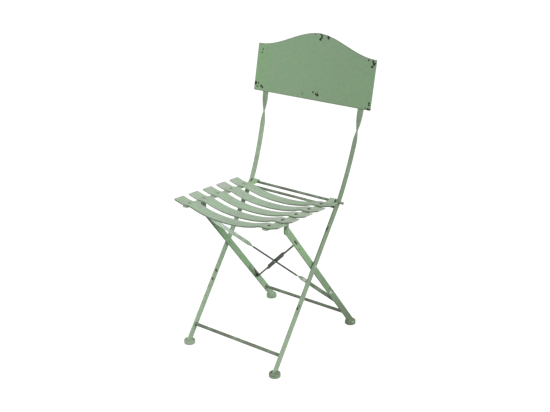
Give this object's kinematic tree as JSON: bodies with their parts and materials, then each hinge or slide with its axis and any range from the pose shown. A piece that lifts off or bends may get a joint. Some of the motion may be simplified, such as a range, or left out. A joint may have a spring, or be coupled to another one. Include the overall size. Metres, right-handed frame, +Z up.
{
  "type": "folding garden chair",
  "caption": "Folding garden chair of painted flat steel bar, with an arched sheet back, dished slats and crossed legs that fold flat.",
  "frame": {"origin": "on the floor, under the middle of the open chair's box", "axes": "+Z up, the sitter faces -Y, +X is on the right of someone looking at the chair from the front along +Y"},
  "size_m": [0.421, 0.4506, 0.8771],
  "materials": {
    "back_paint": "matt green paint, chipped at the corners",
    "frame_paint": "matt green paint, worn to metal along the edges",
    "seat_paint": "pale matt green paint, rubbed and chipped",
    "worn_steel": "mostly bare dark steel with remains of green paint"
  },
  "bodies": {
    "back_frame": {"left_upright": "frame_paint", "right_upright": "frame_paint", "back_panel": "back_paint", "hook_rod": "worn_steel", "lower_rod": "worn_steel", "front_stretcher": "worn_steel", "left_front_foot": "frame_paint", "right_front_foot": "frame_paint", "left_leg_pivot_rivet": "worn_steel", "right_leg_pivot_rivet": "worn_steel", "left_leg_pivot_washer": "worn_steel", "right_leg_pivot_washer": "worn_steel"},
    "rear_legs": {"left_rear_leg": "frame_paint", "right_rear_leg": "frame_paint", "rear_stretcher": "worn_steel", "left_rear_foot": "frame_paint", "right_rear_foot": "frame_paint", "left_top_brace": "frame_paint", "right_top_brace": "frame_paint", "brace_centre_rivet": "worn_steel", "left_upper_brace_rivet": "worn_steel", "right_upper_brace_rivet": "worn_steel", "left_lower_brace_rivet": "worn_steel", "right_lower_brace_rivet": "worn_steel", "left_seat_pivot_rivet": "worn_steel", "right_seat_pivot_rivet": "worn_steel", "left_seat_pivot_washer": "worn_steel", "right_seat_pivot_washer": "worn_steel"},
    "seat": {"left_seat_rail": "seat_paint", "right_seat_rail": "seat_paint", "left_lug": "seat_paint", "right_lug": "seat_paint", "slat_1": "seat_paint", "slat_2": "seat_paint", "slat_3": "seat_paint", "slat_4": "seat_paint", "slat_5": "seat_paint", "left_slat_1_rivet": "worn_steel", "right_slat_1_rivet": "worn_steel", "left_slat_2_rivet": "worn_steel", "right_slat_2_rivet": "worn_steel", "left_slat_3_rivet": "worn_steel", "right_slat_3_rivet": "worn_steel", "left_slat_4_rivet": "worn_steel", "right_slat_4_rivet": "worn_steel", "left_slat_5_rivet": "worn_steel", "right_slat_5_rivet": "worn_steel"}
  },
  "joints": [
    {"name": "leg_fold", "type": "hinge", "parent": "back_frame", "child": "rear_legs", "pos_m": [0, -0.02131, 0.2675], "axis": [-1, 0, 0], "range_deg": [0, 68]},
    {"name": "seat_fold", "type": "hinge", "parent": "rear_legs", "child": "seat", "pos_m": [0, -0.13647, 0.41228], "axis": [1, 0, 0], "range_deg": [0, 129.3]}
  ],
  "couplings": [
    {"joint": "seat_fold", "follows": "leg_fold", "ratio": 1.9}
  ]
}
